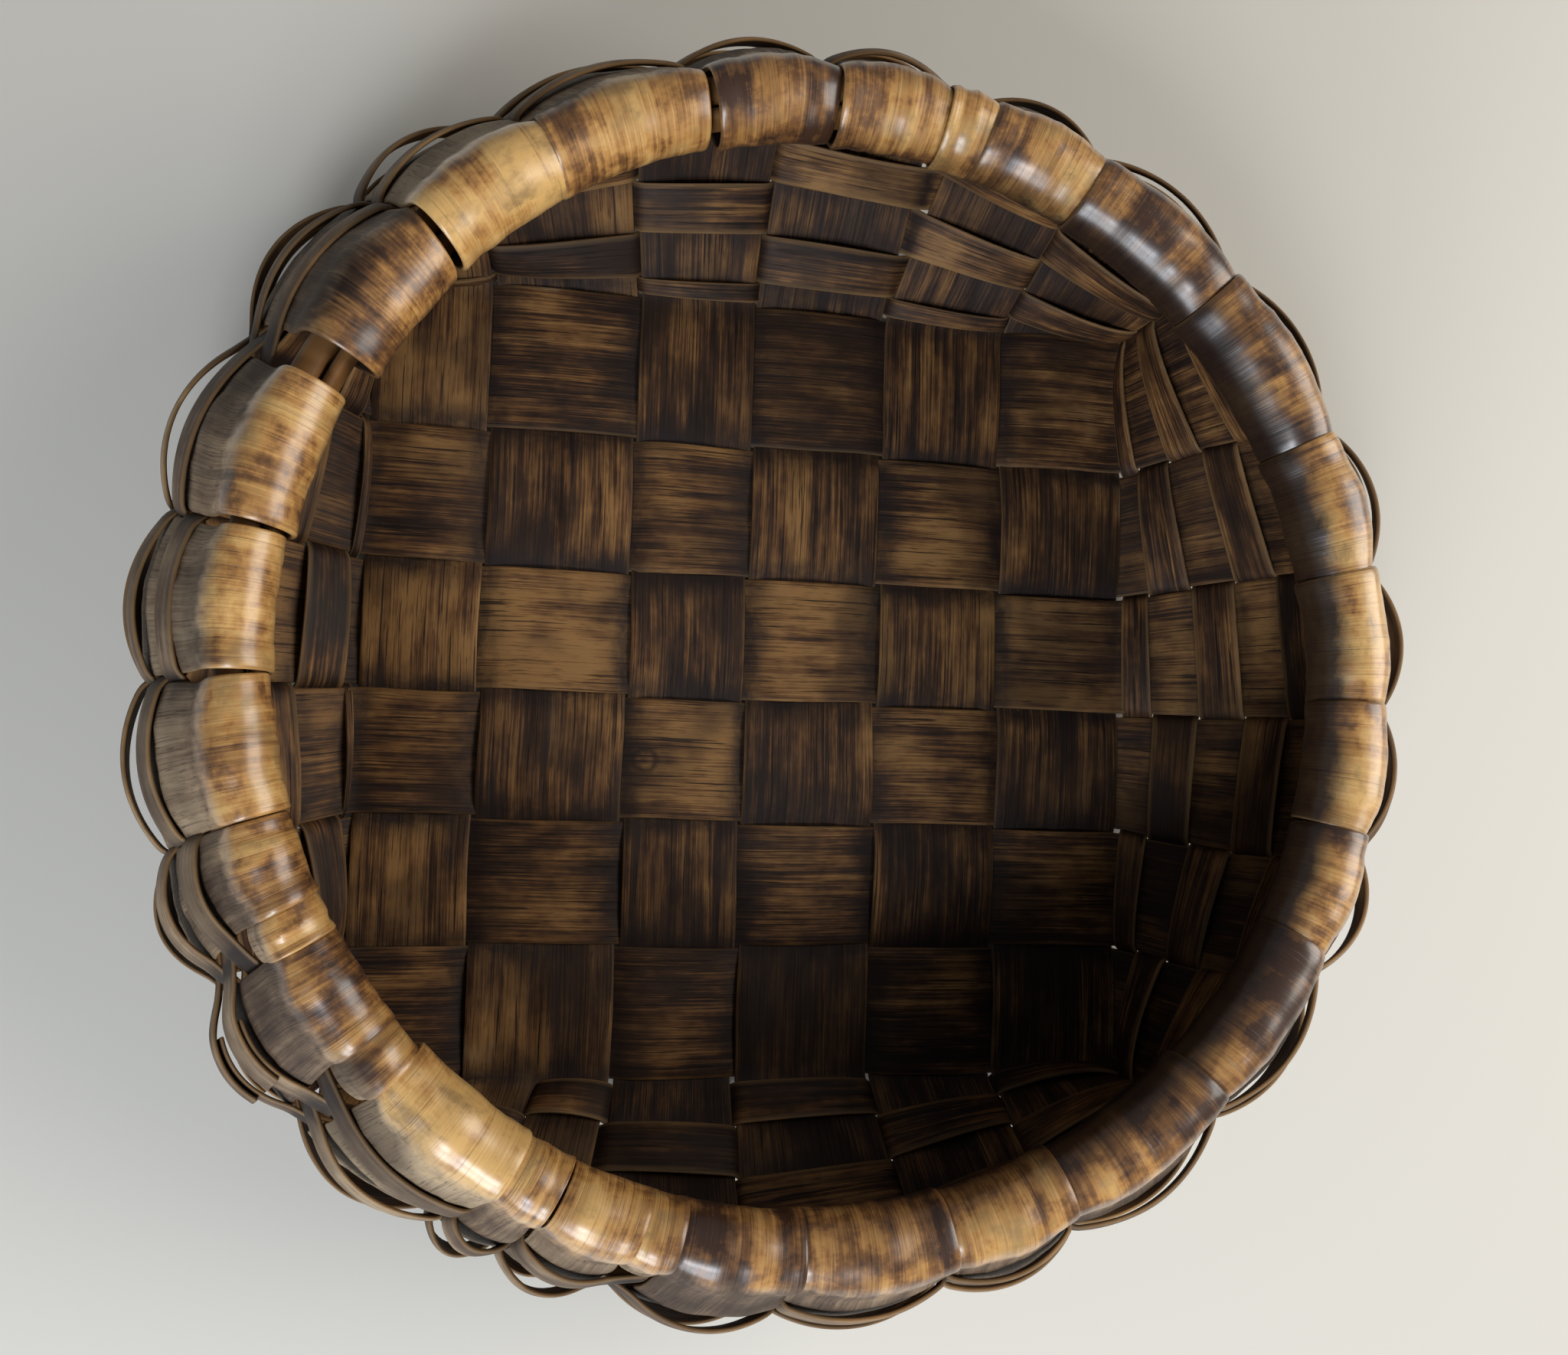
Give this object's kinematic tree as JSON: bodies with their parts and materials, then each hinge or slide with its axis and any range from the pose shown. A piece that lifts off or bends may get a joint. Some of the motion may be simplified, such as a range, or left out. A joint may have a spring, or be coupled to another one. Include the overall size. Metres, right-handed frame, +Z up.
{
  "type": "woven basket",
  "caption": "Round open basket of wide split-wood splints, with a plain-woven square base, a bulging woven side and a rim of splint ends folded inward over wooden hoops.",
  "frame": {"origin": "centre of the basket at the underside of its base, where it stands", "axes": "+Z up through the mouth, X along the row splints of the base, Y along its column splints"},
  "size_m": [0.396, 0.3973, 0.123],
  "materials": {
    "row_splints": "split along the grain, aged brown, worn smooth",
    "column_splints": "split along the grain, aged brown, worn smooth",
    "weaver": "split along the grain, weathered grey-brown and dry",
    "rim_hoops": "split pole, bare and dry",
    "rim_fillers": "split along the grain, polished by handling"
  },
  "bodies": {
    "root": {"row_splint_1": "row_splints", "row_splint_2": "row_splints", "row_splint_3": "row_splints", "row_splint_4": "row_splints", "row_splint_5": "row_splints", "row_splint_6": "row_splints", "column_splint_1": "column_splints", "column_splint_2": "column_splints", "column_splint_3": "column_splints", "column_splint_4": "column_splints", "column_splint_5": "column_splints", "column_splint_6": "column_splints", "weaver_round_1": "weaver", "weaver_round_2": "weaver", "weaver_round_3": "weaver", "weaver_round_4": "weaver", "weaver_round_5": "weaver", "weaver_round_6": "weaver", "weaver_round_7": "weaver", "weaver_round_8": "weaver", "rim_hoop_outer": "rim_hoops", "rim_hoop_inner": "rim_hoops", "rim_filler_1": "rim_fillers", "rim_filler_2": "rim_fillers", "rim_filler_3": "rim_fillers", "rim_filler_4": "rim_fillers"}
  },
  "joints": []
}
